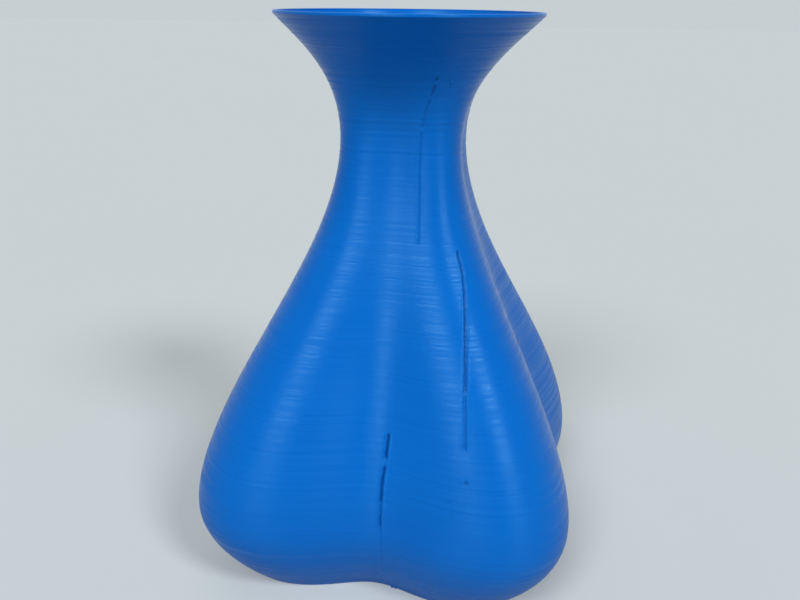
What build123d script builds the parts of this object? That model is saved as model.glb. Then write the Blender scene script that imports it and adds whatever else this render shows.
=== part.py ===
from build123d import *

import os
from math import cos, hypot, pi, sin

# A printed vase: one thin wall that stands on a flat four-lobed foot, swells
# into a belly of four round lobes, draws in to a slim neck and opens into a
# round trumpet mouth with a short upright lip. Millimetres, +Z up, the origin
# in the middle of the underside. A hollow between two lobes faces -Y.

# Heights, each stacked on the one before it.
foot_rise = 19.5  # underside to the widest ring of the belly
shoulder_rise = 82.7  # widest ring to the narrowest ring of the neck
flare_rise = 26.6  # narrowest ring to the bottom of the lip
lip_height = 1.2  # the upright edge of the mouth

# Mean radii, half way between a lobe's crest and the hollow beside it.
foot_radius = 35.7
belly_radius = 46.6
neck_radius = 14.5
rim_radius = 30.0

# How far each curve of the side runs on before it turns.
foot_turn = 11.0
belly_turn = 22.4
neck_turn = 22.6
flare_turn = 14.0
rim_turn = 7.5
rim_slope = 44.0  # degrees out of upright, where the flare meets the lip

# The lobes, as crest height over the mean radius.
lobe_count = 4
lobe_depth = 8.0  # at the widest ring
foot_lobe_depth = 6.5  # at the underside
lobe_fade_height = 40.0  # above this the lobes fade, to nothing at the lip

# The printed wall.
wall = 1.2
floor = 1.6
lip_bevel = 0.3

# How finely the curves are followed.
points_per_lobe = 12
foot_steps = 4
shoulder_steps = 8
flare_steps = 6

belly_height = foot_rise
neck_height = belly_height + shoulder_rise
lip_base = neck_height + flare_rise
height = lip_base + lip_height


# The side of the vase, from the underside to the lip: X is its mean radius and
# Y its height.
with BuildLine() as side:
    foot_curve = Bezier(
        (foot_radius, 0),
        (belly_radius, foot_turn),
        (belly_radius, belly_height),
    )
    shoulder_curve = Bezier(
        (belly_radius, belly_height),
        (belly_radius, belly_height + belly_turn),
        (neck_radius, neck_height - neck_turn),
        (neck_radius, neck_height),
    )
    rim_point = Vector(rim_radius, lip_base)
    flare_curve = Bezier(
        (neck_radius, neck_height),
        (neck_radius, neck_height + flare_turn),
        rim_point - Vector(0, rim_turn).rotate(Axis.Z, -rim_slope),
        rim_point,
    )


def lobe_share(z):
    """Crest height over the mean radius: steady in the belly, none at the lip."""
    belly_share = lobe_depth / belly_radius
    foot_share = foot_lobe_depth / foot_radius
    low = max(0.0, 1 - z / belly_height)
    climb = (z - lobe_fade_height) / (lip_base - lobe_fade_height)
    climb = min(1.0, max(0.0, climb))
    fade = 1 - climb**2 * (3 - 2 * climb)
    return (belly_share + (foot_share - belly_share) * low**2) * fade


def ring(curve, along, inset):
    """One closed lobed outline through a point of the side, set in by a wall."""
    here, heading = curve @ along, curve % along
    share = lobe_share(here.Y)
    first_crest = pi / lobe_count - pi / 2
    steps = lobe_count * points_per_lobe
    points = []
    for step in range(steps):
        swing = 2 * pi * step / points_per_lobe
        angle = first_crest + swing / lobe_count
        radius = here.X * (1 + share * cos(swing))
        lean = -here.X * share * lobe_count * sin(swing) / radius
        radius -= inset * heading.Y * hypot(1, lean)
        points.append((radius * cos(angle), radius * sin(angle)))
    # Evenly numbered points let each outline line up with the next in the loft.
    numbering = [step / steps for step in range(steps + 1)]
    with BuildSketch(Plane.XY.offset(here.Y + inset * heading.X)) as outline:
        with BuildLine():
            add(Edge.make_spline(points, periodic=True, parameters=numbering))
        make_face()
    return outline.sketch


def rings(inset):
    """The outlines from the underside to the lip."""
    stretches = [
        (foot_curve, foot_steps),
        (shoulder_curve, shoulder_steps),
        (flare_curve, flare_steps),
    ]
    outlines = [
        ring(curve, step / steps, inset)
        for curve, steps in stretches
        for step in range(steps)
    ]
    return outlines + [ring(flare_curve, 1, inset)]


# The space inside: it stops at the floor and runs out through the mouth.
with BuildPart() as cavity:
    loft(sections=rings(wall))
    extrude(cavity.faces().sort_by(Axis.Z)[-1], amount=lip_height)
    split(bisect_by=Plane.XY.offset(floor), keep=Keep.TOP)

# The vase: the outer form less the space inside, with the edges of its lip eased.
with BuildPart() as vase_shell:
    loft(sections=rings(0))
    extrude(vase_shell.faces().sort_by(Axis.Z)[-1], amount=lip_height)
    add(cavity.part, mode=Mode.SUBTRACT)
    lip_edges = vase_shell.edges().group_by(Axis.Z)[-1]
    chamfer(lip_edges, min(lip_bevel, wall / 4))

vase_shell.part.label = "vase_shell"

os.makedirs("parts", exist_ok=True)
export_step(vase_shell.part, "parts/vase_shell.step")
print("height", round(height, 2), "volume", round(vase_shell.part.volume))
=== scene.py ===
import math

import bpy
import numpy as np
from mathutils import Matrix, Vector


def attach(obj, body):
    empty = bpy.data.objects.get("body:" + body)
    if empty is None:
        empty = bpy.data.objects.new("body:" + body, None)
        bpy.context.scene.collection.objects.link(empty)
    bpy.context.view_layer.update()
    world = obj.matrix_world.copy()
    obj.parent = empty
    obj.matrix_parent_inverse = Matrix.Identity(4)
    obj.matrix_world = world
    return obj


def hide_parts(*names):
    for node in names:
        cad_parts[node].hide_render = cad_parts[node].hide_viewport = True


# A printed vase in satin blue plastic: four round lobes, a slim neck and a wide round mouth.
# Sizes are in millimetres, turns in degrees from -Y towards +X, and mm makes metres of them.
mm = 0.001

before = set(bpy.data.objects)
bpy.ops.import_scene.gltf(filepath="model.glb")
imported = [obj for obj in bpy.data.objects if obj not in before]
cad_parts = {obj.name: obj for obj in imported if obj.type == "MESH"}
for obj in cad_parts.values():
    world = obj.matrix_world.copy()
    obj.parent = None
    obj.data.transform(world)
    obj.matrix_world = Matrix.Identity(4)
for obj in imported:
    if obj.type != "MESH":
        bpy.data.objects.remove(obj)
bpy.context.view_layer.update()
print("frame loaded:", ", ".join(sorted(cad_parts)))

vase = {
    # Heights, each stacked on the one before it, and mean radii between a crest and a hollow.
    "footRise": 19.5, "shoulderRise": 82.7, "flareRise": 26.6, "lipHeight": 1.2,
    "footRadius": 35.7, "bellyRadius": 46.6, "neckRadius": 14.5, "rimRadius": 30.0,
    # How far each curve of the side runs on before it turns, and the flare's slope at the lip.
    "footTurn": 11.0, "bellyTurn": 22.4, "neckTurn": 22.6, "flareTurn": 14.0,
    "rimTurn": 7.5, "rimSlope": 44.0,
    # The lobes as crest height over the mean radius, which fades from a height up to the lip.
    "lobes": 4, "lobeDepth": 8.0, "footLobeDepth": 6.5, "lobeFadeHeight": 40.0,
    # The lobes run on along the neck by a share of its radius, and the neck swells with them.
    "neckLobe": 0.075, "neckSwell": 0.4, "neckLobeTop": 103, "neckLobeReach": 15,
    "wall": 1.2, "floor": 1.6, "lipRound": 0.25,
    "lipThin": 0.6,  # outside, the flare runs this much further up, so less of the lip is upright
    "skin": 0.06,  # the wall is drawn this far inside its true place, as room for the beads
    "sideSteps": 240, "outsideRows": 372, "insideRows": 64, "lipRows": 5, "discRows": 5,
    "discSpan": (0.08, 0.97),  # rings of the underside and the floor, as shares of their edge
    # Layers: how far they stand out, how much that wanders and in how many waves, and its limit.
    "bandRelief": 0.011, "bandWander": 0.4, "bandWaves": 3, "bandLimit": 2.2, "seed": 11,
    "neckBands": 1.8, "neckBandsSpan": (96, 111), "neckBandsEase": 3.0,  # coarser at the neck
    "footEase": 1.5,  # the relief grows from nothing over this height
}


# A Bezier curve: every control point counts by its Bernstein share at t.
def bezier(controls, t):
    degree = len(controls) - 1
    shares = [math.comb(degree, k) * t**k * (1 - t)**(degree - k) for k in range(degree + 1)]
    return np.array(shares).T @ np.array(controls, float)


# One at the top of the neck's lobes, a bell curve below it and a smooth step to none at the lip.
def neckShare(v, z):
    lip = v["footRise"] + v["shoulderRise"] + v["flareRise"]
    above = np.clip((z - v["neckLobeTop"]) / (lip - v["neckLobeTop"]), 0, 1)
    below = np.minimum(z - v["neckLobeTop"], 0) / v["neckLobeReach"]
    return np.exp(-below**2) * (1 - above**2 * (3 - 2 * above))


# The side of the vase, three Bezier curves end to end: the length run from the foot, the mean
# radius and height there, and the unit heading.
def sideLine(v):
    belly = v["footRise"]
    neck = belly + v["shoulderRise"]
    lip = neck + v["flareRise"]
    slope = math.radians(v["rimSlope"])
    t = np.linspace(0, 1, v["sideSteps"])
    foot = bezier([(v["footRadius"], 0), (v["bellyRadius"], v["footTurn"]), (v["bellyRadius"], belly)], t)
    shoulder = bezier([(v["bellyRadius"], belly), (v["bellyRadius"], belly + v["bellyTurn"]),
                       (v["neckRadius"], neck - v["neckTurn"]), (v["neckRadius"], neck)], t)
    flare = bezier([(v["neckRadius"], neck), (v["neckRadius"], neck + v["flareTurn"]),
                    (v["rimRadius"] - v["rimTurn"] * math.sin(slope), lip - v["rimTurn"] * math.cos(slope)),
                    (v["rimRadius"], lip)], t)
    line = np.vstack([foot, shoulder[1:], flare[1:]])
    line[:, 0] += v["neckSwell"] * neckShare(v, line[:, 1])
    run = np.append(0, np.cumsum(np.hypot(*np.diff(line, axis=0).T)))
    heading = np.gradient(line, run, axis=0)
    heading /= np.linalg.norm(heading, axis=1, keepdims=True)
    return run, line, heading


# The side at given runs, a row each: mean radius, height, outward heading, upward heading.
def sideAt(side, runs):
    run, line, heading = side
    return [np.interp(runs, run, column)[:, None] for column in (*line.T, *heading.T)]


# Crest height over mean radius: steady in the belly, eased to nothing at the lip, and more along
# the neck.
def lobeShare(v, z):
    lip = v["footRise"] + v["shoulderRise"] + v["flareRise"]
    belly = v["lobeDepth"] / v["bellyRadius"]
    foot = v["footLobeDepth"] / v["footRadius"]
    low = np.clip(1 - z / v["footRise"], 0, 1)
    climb = np.clip((z - v["lobeFadeHeight"]) / (lip - v["lobeFadeHeight"]), 0, 1)
    fading = (belly + (foot - belly) * low**2) * (1 - climb**2 * (3 - 2 * climb))
    return fading + v["neckLobe"] * neckShare(v, z)


# Radius at a height and turn: the mean radius less a cosine with one crest per lobe, and how
# much longer a step along the radius is there than the step across the wall that it makes.
def lobedRadius(v, meanRadius, z, turn):
    swing = v["lobes"] * turn
    share = lobeShare(v, z)
    radius = meanRadius * (1 - share * np.cos(swing))
    lean = meanRadius * share * v["lobes"] * np.sin(swing) / radius
    return radius, np.hypot(1, lean)


# The printer's seams, where layers start and end: a path of turns over heights, the stretches
# that are open grooves (from, to, depth) and the small beads of plastic left on it
# (height, offset across, width, rise). A bead that rises less than nothing is a pit. Grooves and
# pits are darkened with painted shade.
seams = [
    {"heights": [0, 6.1, 18.0, 22.5, 27.5, 32.1, 36.2, 42.9],
     "turns": [5.2, 4.8, 3.8, 3.4, 3.3, 3.5, 4.2, 5.1],
     "grooves": [(37.6, 43.0, 0.50), (27.9, 36.3, 0.50), (22.1, 27.9, 0.34), (8.3, 22.1, 0.12)],
     "beads": [(27.5, 0.70, 0.28, 0.16), (36.9, 0.2, 0.35, 0.05), (6.0, 0.1, 0.35, 0.12)]},
    {"heights": [79.6, 81.9, 91.2, 100.7, 106.1, 114.1, 116.5],
     "turns": [18.5, 18.6, 20.1, 20.8, 21.5, 26.3, 26.4],
     "grooves": [(113.3, 115.8, 0.27), (106.4, 113.3, 0.22), (81.9, 105.6, 0.16)],
     "beads": [(106.0, 0.30, 0.30, 0.18), (117.1, 0.0, 0.38, -0.08), (116.4, 0.55, 0.32, 0.20),
               (116.0, -0.1, 0.30, 0.16)]},
    {"heights": [36.7, 42.7, 52.7, 60.0, 65.7, 70.9, 76.6, 80.7],
     "turns": [27.2, 28.0, 30.3, 33.0, 35.4, 38.3, 41.0, 41.0],
     "grooves": [(53.7, 80.9, 0.46), (42.7, 53.7, 0.28)],
     "beads": [(36.8, 0.20, 0.34, -0.20), (37.0, -0.55, 0.32, 0.14), (81.0, 0.0, 0.35, 0.08)]},
]
seamBand = {
    "halfWidth": 1.15, "columns": 13, "gaps": [9, 11, 146],  # columns across and between seams
    "core": 0.25, "edge": 0.52, "edgeWidth": 0.18, "edgeRise": 0.12, "ease": 0.35,
    # A groove of full depth gets the full painted shade, a shallower one less.
    "fullDepth": 0.50, "darkening": 1.5,  # a groove of full depth is dark, a shallower one less
    "ragged": 0.22, "drift": 0.03,
}


# Turns of the columns of each row: close together across each seam, even between them.
def columnTurns(v, z, meanRadius):
    paths = [np.radians(np.interp(z, s["heights"], s["turns"])) for s in seams]
    half = seamBand["halfWidth"] / lobedRadius(v, meanRadius, z, paths[0])[0]
    starts = [p - half for p in paths]
    ends = [p + half for p in paths]
    follow = starts[1:] + [starts[0] + 2 * math.pi]
    columns = []
    for start, end, after, gap in zip(starts, ends, follow, seamBand["gaps"]):
        columns.append(start + (end - start) * np.arange(seamBand["columns"]) / seamBand["columns"])
        columns.append(end + (after - end) * np.arange(gap) / gap)
    return np.hstack(columns), paths


# One between two heights, zero outside, eased over a short way at each end.
def window(z, low, high, ease):
    return np.clip((z - low) / ease, 0, 1) * np.clip((high - z) / ease, 0, 1)


# How far the outer wall stands out of its smooth form. Layers: a random step for each row,
# which wanders a little around the vase. Seams: a groove with a raised edge on each side, and
# beads. The second result is how much painted shade a point gets, by how far it lies down in a
# groove or pit.
def wallRelief(v, z, turn, radius, paths):
    dice = np.random.default_rng(v["seed"])
    rows = z.shape[0]
    coarse = 1 + v["neckBands"] * window(z, *v["neckBandsSpan"], v["neckBandsEase"])
    bands = dice.normal(size=(rows, 1)) * v["bandRelief"] * coarse
    phase = dice.uniform(0, 2 * math.pi, size=(rows, 1))
    wander = dice.normal(size=(rows, 1)) * v["bandRelief"] * v["bandWander"]
    most = v["bandLimit"] * v["bandRelief"] * coarse
    relief = np.clip(bands + wander * np.sin(turn * v["bandWaves"] + phase), -most, most)
    ragged = 1 + seamBand["ragged"] * dice.normal(size=(rows, 1))
    drift = seamBand["drift"] * dice.normal(size=(rows, 1))
    # gap gathers the painted shade of grooves and pits, which is later mixed into the colour.
    gap = np.zeros_like(relief)
    for seam, path in zip(seams, paths):
        across = (turn - path) * radius + drift
        core = np.exp(-(across / seamBand["core"])**2)
        edges = np.exp(-((np.abs(across) - seamBand["edge"]) / seamBand["edgeWidth"])**2)
        for low, high, depth in seam["grooves"]:
            share = depth / seamBand["fullDepth"]
            stretch = window(z, low, high, seamBand["ease"])
            section = edges * seamBand["edgeRise"] * share - core * depth
            relief = relief + stretch * ragged * section
            gap = np.maximum(gap, stretch * core * share**seamBand["darkening"])
        for height, offset, width, rise in seam["beads"]:
            away = ((across - offset)**2 + (z - height)**2) / width**2
            relief = relief + rise * np.exp(-away)
            gap = np.maximum(gap, np.exp(-away) * (rise < 0))
    return relief, gap


# Points on level rings: radius times sine and minus cosine of the turn, and the height.
def ringPoints(radius, turn, z):
    radius, turn, z = np.broadcast_arrays(radius, turn, z)
    return np.stack([radius * np.sin(turn), -radius * np.cos(turn), z], axis=2)


# A closed skin over a stack of rings: a grid of quads round and up, and a fan at each pole. The
# edges along the crease rings are sharp.
def skinMesh(name, rings, creases=()):
    rows, columns = rings.shape[:2]
    grid = np.arange(rows * columns).reshape(rows, columns)
    right = np.roll(grid, -1, axis=1)
    quads = np.stack([grid[:-1], right[:-1], right[1:], grid[1:]], axis=2).reshape(-1, 4)
    lowPole, highPole = rows * columns, rows * columns + 1
    lowFan = np.stack([right[0], grid[0], np.full(columns, lowPole)], axis=1)
    highFan = np.stack([grid[-1], right[-1], np.full(columns, highPole)], axis=1)
    points = np.vstack([rings.reshape(-1, 3), rings[0].mean(axis=0), rings[-1].mean(axis=0)])
    mesh = bpy.data.meshes.new(name)
    mesh.vertices.add(len(points))
    mesh.vertices.foreach_set("co", (points * mm).ravel())
    corners = np.concatenate([quads.ravel(), lowFan.ravel(), highFan.ravel()])
    sizes = np.concatenate([np.full(len(quads), 4), np.full(2 * columns, 3)])
    mesh.loops.add(len(corners))
    mesh.loops.foreach_set("vertex_index", corners)
    mesh.polygons.add(len(sizes))
    mesh.polygons.foreach_set("loop_start", np.append(0, np.cumsum(sizes)[:-1]))
    mesh.update(calc_edges=True)
    mesh.validate()
    mesh.polygons.foreach_set("use_smooth", np.ones(len(sizes), bool))
    ends = np.zeros(len(mesh.edges) * 2, int)
    mesh.edges.foreach_get("vertices", ends)
    ringOf = ends.reshape(-1, 2) // columns
    sharp = (ringOf[:, 0] == ringOf[:, 1]) & np.isin(ringOf[:, 0], creases)
    mesh.edges.foreach_set("use_edge_sharp", sharp)
    piece = bpy.data.objects.new(name, mesh)
    bpy.context.scene.collection.objects.link(piece)
    return piece


# The vase as one closed skin: underside, outer wall, lip, inner wall, floor. The inner wall is
# the side set in by the wall at right angles to it, and the lip's edges are quarter rounds.
def makeVase(v):
    outer = sideLine({**v, "flareRise": v["flareRise"] + v["lipThin"]})
    meanRadius, z = sideAt(outer, np.linspace(0, outer[0][-1], v["outsideRows"]))[:2]
    turn, paths = columnTurns(v, z, meanRadius)
    radius, stretch = lobedRadius(v, meanRadius, z, turn)
    relief, gap = wallRelief(v, z, turn, radius, paths)
    relief = relief * np.clip(z / v["footEase"], 0, 1)
    outside = ringPoints(radius + (relief - v["skin"]) * stretch, turn, z)

    top = z[-1, 0] + v["lipHeight"] - v["lipThin"]
    rimTurns = turn[-1:]
    edge = np.radians(np.linspace(0, 90, v["lipRows"]))[:, None]
    rimOutside = v["rimRadius"] - v["skin"]
    rimInside = v["rimRadius"] - v["wall"] * math.cos(math.radians(v["rimSlope"]))
    outerLip = ringPoints(rimOutside - v["lipRound"] * (1 - np.cos(edge)), rimTurns,
                          top - v["lipRound"] * (1 - np.sin(edge)))
    innerLip = ringPoints(rimInside + v["lipRound"] * (1 - np.sin(edge)), rimTurns,
                          top - v["lipRound"] * (1 - np.cos(edge)))

    side = sideLine(v)
    run, line, heading = side
    insideHeight = line[:, 1] + v["wall"] * heading[:, 0]
    start = np.interp(v["floor"], insideHeight, run)
    meanRadius, z, out, up = sideAt(side, np.linspace(run[-1], start, v["insideRows"]))
    turn = columnTurns(v, z, meanRadius)[0]
    radius, stretch = lobedRadius(v, meanRadius, z, turn)
    inside = ringPoints(radius - v["wall"] * up * stretch, turn, z + v["wall"] * out)

    shrink = np.linspace(*v["discSpan"], v["discRows"])[:, None, None]
    flat = np.array([1, 1, 0])
    underside = outside[0] * shrink * flat
    floor = inside[-1] * shrink[::-1] * flat + np.array([0, 0, v["floor"]])
    rings = np.concatenate([underside, outside, outerLip, innerLip, inside, floor])
    footRing = len(underside)
    floorRing = len(rings) - len(floor) - 1
    lipRing = footRing + len(outside) - 1
    piece = skinMesh("vase", rings, [footRing, lipRing, floorRing])
    # The painted shade of the seam grooves and pits is stored on the outer wall's points as the gap
    # attribute.
    shade = np.zeros(len(piece.data.vertices))
    shade[footRing * turn.shape[1]:][:gap.size] = gap.ravel()
    piece.data.attributes.new("gap", "FLOAT", "POINT").data.foreach_set("value", shade)
    return piece


# Small specks of plastic that a nozzle leaves on the wall: turn, height, width.
specks = {
    "places": [(-5.2, 19.3, 0.34), (23.4, 32.9, 0.36), (23.9, 29.9, 0.28), (8.7, 24.5, 0.30),
               (36.6, 116.6, 0.30), (8.2, 0.45, 0.45), (9.6, 0.55, 0.38)],
    "rings": 5, "sides": 9, "lift": 60, "rise": 0.45,  # degrees up and down from the middle
}


# Each speck is a flattened ball, sunk to its middle in the wall where it lies.
def makeSpecks(v, s):
    line = sideLine(v)[1]
    lift = np.radians(np.linspace(-s["lift"], s["lift"], s["rings"]))[:, None]
    swirl = np.linspace(0, 2 * math.pi, s["sides"], endpoint=False)[None, :]
    shells = []
    for index, (turn, z, width) in enumerate(s["places"]):
        turn = np.radians(turn)
        meanRadius = np.interp(z, line[:, 1], line[:, 0])
        radius = lobedRadius(v, meanRadius, z, turn)[0] - v["skin"]
        across = width * np.cos(lift) * np.cos(swirl)
        climb = width * np.cos(lift) * np.sin(swirl)
        outward = width * s["rise"] * np.sin(lift)
        shell = ringPoints(radius + outward, turn + across / radius, z + climb)
        shells.append(skinMesh("speck%d" % index, shell))
    for shell in shells:
        shell.select_set(True)
    bpy.context.view_layer.objects.active = shells[0]
    bpy.ops.object.join()
    shells[0].name = "printSpecks"
    bpy.ops.object.select_all(action="DESELECT")
    return shells[0]


plastic = {
    # gap is the dark colour painted into the seam grooves and pits as shade.
    "deep": (0.0, 0.110, 0.480), "bright": (0.0, 0.140, 0.560), "gap": (0.0, 0.045, 0.25),
    "layerShade": 0.20, "drawnShade": 0.20, "cloudShade": 0.60,  # what each adds to the shade
    "drawn": (9, 9, 2400), "drawnDetail": 3.0, "cloud": 45.0, "cloudDetail": 2.0,  # per metre
    "glossTint": (0.34, 0.82, 1.0), "gloss": 0.28, "streak": 0.85, "streakTurn": 0.25,
    "drawnSpan": (0.36, 0.64), "roughness": (0.26, 0.52),  # roughness over this part of the noise
    "layerPitch": 0.2, "layerDepth": 0.006, "grainDepth": 0.019,
}


# Small helpers for node trees.
def addNode(tree, kind, **settings):
    node = tree.nodes.new(kind)
    for name, value in settings.items():
        setattr(node, name, value)
    return node


def mathNode(tree, operation, first, second=None):
    node = addNode(tree, "ShaderNodeMath", operation=operation)
    for socket, value in zip(node.inputs, (first, second)):
        if isinstance(value, (int, float)):
            socket.default_value = value
        elif value is not None:
            tree.links.new(value, socket)
    return node.outputs[0]


# Blue plastic. Height sets a fine sine for the layers and a shade that differs from layer to
# layer. A noise drawn out along the layers makes the shade, the gloss and the grain wander, and
# a soft cloud the shade. The gap attribute mixes in a dark colour as painted shade in the seam
# grooves and pits.
def plasticMaterial(p):
    material = bpy.data.materials.new("bluePlastic")
    material.use_nodes = True
    tree = material.node_tree
    shader = tree.nodes["Principled BSDF"]
    place = addNode(tree, "ShaderNodeTexCoord").outputs["Object"]
    split = addNode(tree, "ShaderNodeSeparateXYZ")
    tree.links.new(place, split.inputs[0])
    height = split.outputs["Z"]
    layerCount = mathNode(tree, "MULTIPLY", height, 1 / (p["layerPitch"] * mm))
    layer = addNode(tree, "ShaderNodeTexWhiteNoise", noise_dimensions="1D")
    tree.links.new(mathNode(tree, "FLOOR", layerCount), layer.inputs["W"])

    stretched = addNode(tree, "ShaderNodeMapping")
    stretched.inputs["Scale"].default_value = p["drawn"]
    tree.links.new(place, stretched.inputs["Vector"])
    drawn = addNode(tree, "ShaderNodeTexNoise")
    drawn.inputs["Scale"].default_value = 1.0
    drawn.inputs["Detail"].default_value = p["drawnDetail"]
    tree.links.new(stretched.outputs[0], drawn.inputs["Vector"])
    cloud = addNode(tree, "ShaderNodeTexNoise")
    cloud.inputs["Scale"].default_value = p["cloud"]
    cloud.inputs["Detail"].default_value = p["cloudDetail"]
    tree.links.new(place, cloud.inputs["Vector"])

    shade = mathNode(tree, "MULTIPLY", layer.outputs["Value"], p["layerShade"])
    shade = mathNode(tree, "ADD", shade, mathNode(tree, "MULTIPLY", drawn.outputs["Fac"], p["drawnShade"]))
    shade = mathNode(tree, "ADD", shade, mathNode(tree, "MULTIPLY", cloud.outputs["Fac"], p["cloudShade"]))
    colour = addNode(tree, "ShaderNodeMix", data_type="RGBA")
    colour.inputs["A"].default_value = (*p["deep"], 1)
    colour.inputs["B"].default_value = (*p["bright"], 1)
    tree.links.new(shade, colour.inputs["Factor"])
    # Painted shade: seam grooves and pits are mixed toward the dark gap colour by the gap attribute.
    gap = addNode(tree, "ShaderNodeAttribute", attribute_name="gap")
    paintedGrooveShade = addNode(tree, "ShaderNodeMix", data_type="RGBA")
    paintedGrooveShade.inputs["B"].default_value = (*p["gap"], 1)
    tree.links.new(gap.outputs["Fac"], paintedGrooveShade.inputs["Factor"])
    tree.links.new(colour.outputs["Result"], paintedGrooveShade.inputs["A"])
    tree.links.new(paintedGrooveShade.outputs["Result"], shader.inputs["Base Color"])

    gloss = addNode(tree, "ShaderNodeMapRange")
    gloss.inputs["From Min"].default_value, gloss.inputs["From Max"].default_value = p["drawnSpan"]
    gloss.inputs["To Min"].default_value, gloss.inputs["To Max"].default_value = p["roughness"]
    tree.links.new(drawn.outputs["Fac"], gloss.inputs["Value"])
    tree.links.new(gloss.outputs[0], shader.inputs["Roughness"])

    # Layers spread a highlight up and down, so it runs along the lobes as a streak.
    shader.inputs["Specular IOR Level"].default_value = p["gloss"]
    shader.inputs["Specular Tint"].default_value = (*p["glossTint"], 1)
    shader.inputs["Anisotropic"].default_value = p["streak"]
    shader.inputs["Anisotropic Rotation"].default_value = p["streakTurn"]
    level = addNode(tree, "ShaderNodeTangent", direction_type="RADIAL", axis="Z")
    tree.links.new(level.outputs[0], shader.inputs["Tangent"])

    sine = mathNode(tree, "SINE", mathNode(tree, "MULTIPLY", layerCount, 2 * math.pi))
    layers = addNode(tree, "ShaderNodeBump")
    layers.inputs["Distance"].default_value = p["layerDepth"] * mm
    tree.links.new(sine, layers.inputs["Height"])
    grain = addNode(tree, "ShaderNodeBump")
    grain.inputs["Distance"].default_value = p["grainDepth"] * mm
    tree.links.new(drawn.outputs["Fac"], grain.inputs["Height"])
    tree.links.new(layers.outputs[0], grain.inputs["Normal"])
    tree.links.new(grain.outputs[0], shader.inputs["Normal"])
    return material


# One for the rays that show a background: straight to the camera, or by way of gloss or glass.
def shownRay(tree):
    rays = addNode(tree, "ShaderNodeLightPath")
    mirrored = mathNode(tree, "MAXIMUM", rays.outputs["Is Glossy Ray"], rays.outputs["Is Transmission Ray"])
    return mathNode(tree, "MAXIMUM", rays.outputs["Is Camera Ray"], mirrored)


# A pale table top, a little uneven in shade, with a glow that only shows and gives no light.
def floorMaterial(s):
    material = bpy.data.materials.new("paleTable")
    material.use_nodes = True
    tree = material.node_tree
    shader = tree.nodes["Principled BSDF"]
    cloud = addNode(tree, "ShaderNodeTexNoise")
    cloud.inputs["Scale"].default_value = s["cloud"]
    tree.links.new(addNode(tree, "ShaderNodeTexCoord").outputs["Object"], cloud.inputs["Vector"])
    colour = addNode(tree, "ShaderNodeMix", data_type="RGBA")
    colour.inputs["A"].default_value = (*[part * s["uneven"] for part in s["shade"]], 1)
    colour.inputs["B"].default_value = (*s["shade"], 1)
    tree.links.new(cloud.outputs["Fac"], colour.inputs["Factor"])
    tree.links.new(colour.outputs["Result"], shader.inputs["Base Color"])
    shader.inputs["Roughness"].default_value = 1.0
    shader.inputs["Specular IOR Level"].default_value = 0.0
    shader.inputs["Emission Color"].default_value = (1, 1, 1, 1)
    tree.links.new(mathNode(tree, "MULTIPLY", shownRay(tree), s["glow"]), shader.inputs["Emission Strength"])
    return material


bluePlastic = plasticMaterial(plastic)
body = makeVase(vase)
body.data.materials.append(bluePlastic)
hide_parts("vase_shell")
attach(body, "root")
print("vase:", len(body.data.polygons), "faces")

dots = makeSpecks(vase, specks)
dots.data.materials.append(bluePlastic)
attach(dots, "root")
print("specks:", len(specks["places"]))

stage = {
    "reach": 4.0, "cloud": 6.0, "uneven": 0.985,  # metres each way, noise per metre, darkest share
    "shade": (0.411, 0.467, 0.482), "glow": 0.15,
    "sky": (0.565, 0.624, 0.645), "skyLight": 0.12,
}


# A level square under the vase, well past what any camera sees.
def makeFloor(s):
    corners = [(-1, -1), (1, -1), (1, 1), (-1, 1)]
    mesh = bpy.data.meshes.new("table")
    mesh.from_pydata([(x * s["reach"], y * s["reach"], 0) for x, y in corners], [], [(0, 1, 2, 3)])
    table = bpy.data.objects.new("table", mesh)
    bpy.context.scene.collection.objects.link(table)
    table.data.materials.append(floorMaterial(s))
    return table


# The sky: pale to the camera, in gloss and through glass, and weaker as a light.
def makeSky(s):
    world = bpy.data.worlds.new("paleSky")
    bpy.context.scene.world = world
    world.use_nodes = True
    tree = world.node_tree
    background = tree.nodes["Background"]
    background.inputs["Color"].default_value = (*s["sky"], 1)
    share = mathNode(tree, "MULTIPLY", shownRay(tree), 1 - s["skyLight"])
    tree.links.new(mathNode(tree, "ADD", share, s["skyLight"]), background.inputs["Strength"])


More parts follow.
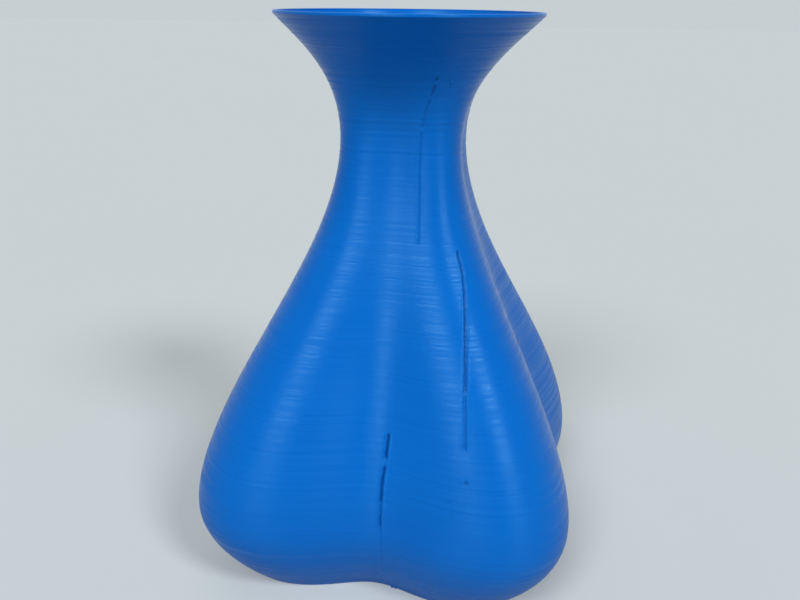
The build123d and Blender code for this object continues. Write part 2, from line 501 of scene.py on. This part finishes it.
lamps = [
    {"name": "window", "turn": -16, "lift": 44, "angle": 22, "strength": 1.88},
    {"name": "rightWindow", "turn": 48, "lift": 44, "angle": 16, "strength": 1.68},
    {"name": "room", "turn": -150, "lift": 76, "angle": 60, "strength": 0.6},
]


# Daylight from a turn and a lift above the table. The angle is how wide its window looks from here.
def addLamp(lamp):
    data = bpy.data.lights.new(lamp["name"], "SUN")
    data.energy = lamp["strength"]
    data.angle = math.radians(lamp["angle"])
    turn, lift = math.radians(lamp["turn"]), math.radians(lamp["lift"])
    toward = Vector((math.sin(turn) * math.cos(lift), -math.cos(turn) * math.cos(lift), math.sin(lift)))
    item = bpy.data.objects.new(lamp["name"], data)
    bpy.context.scene.collection.objects.link(item)
    item.location = toward
    item.rotation_euler = toward.to_track_quat("Z", "Y").to_euler()


viewer = {
    "turn": 7.93, "away": 196.4, "height": 133.3, "tilt": 19.97, "aside": 2.93, "roll": 0.66,
    "lens": 37.86, "sensor": 36, "shift": 0.0506, "near": 5,
}


# The camera stands beside the vase, just above its rim, and looks down past its axis: down by
# the tilt and to the left by the turn aside.
def addCamera(c):
    data = bpy.data.cameras.new("viewer")
    data.sensor_width = c["sensor"]
    data.lens = c["lens"]
    data.shift_x = c["shift"]
    data.clip_start = c["near"] * mm
    turn, tilt, roll = (math.radians(c[name]) for name in ("turn", "tilt", "roll"))
    facing = turn + math.radians(c["aside"])
    ahead = Vector((-math.sin(facing), math.cos(facing), 0))
    right = Vector((math.cos(facing), math.sin(facing), 0))
    look = ahead * math.cos(tilt) - Vector((0, 0, math.sin(tilt)))
    up = right.cross(look)
    place = Vector((math.sin(turn), -math.cos(turn), 0)) * c["away"] + Vector((0, 0, c["height"]))
    axes = (right * math.cos(roll) + up * math.sin(roll), up * math.cos(roll) - right * math.sin(roll), -look)
    item = bpy.data.objects.new("viewer", data)
    bpy.context.scene.collection.objects.link(item)
    item.matrix_world = Matrix.Translation(place * mm) @ Matrix(axes).transposed().to_4x4()
    bpy.context.scene.camera = item


makeFloor(stage)
makeSky(stage)
for lamp in lamps:
    addLamp(lamp)
addCamera(viewer)
bpy.context.scene.view_settings.view_transform = "Standard"
print("stage, lamps and camera set")
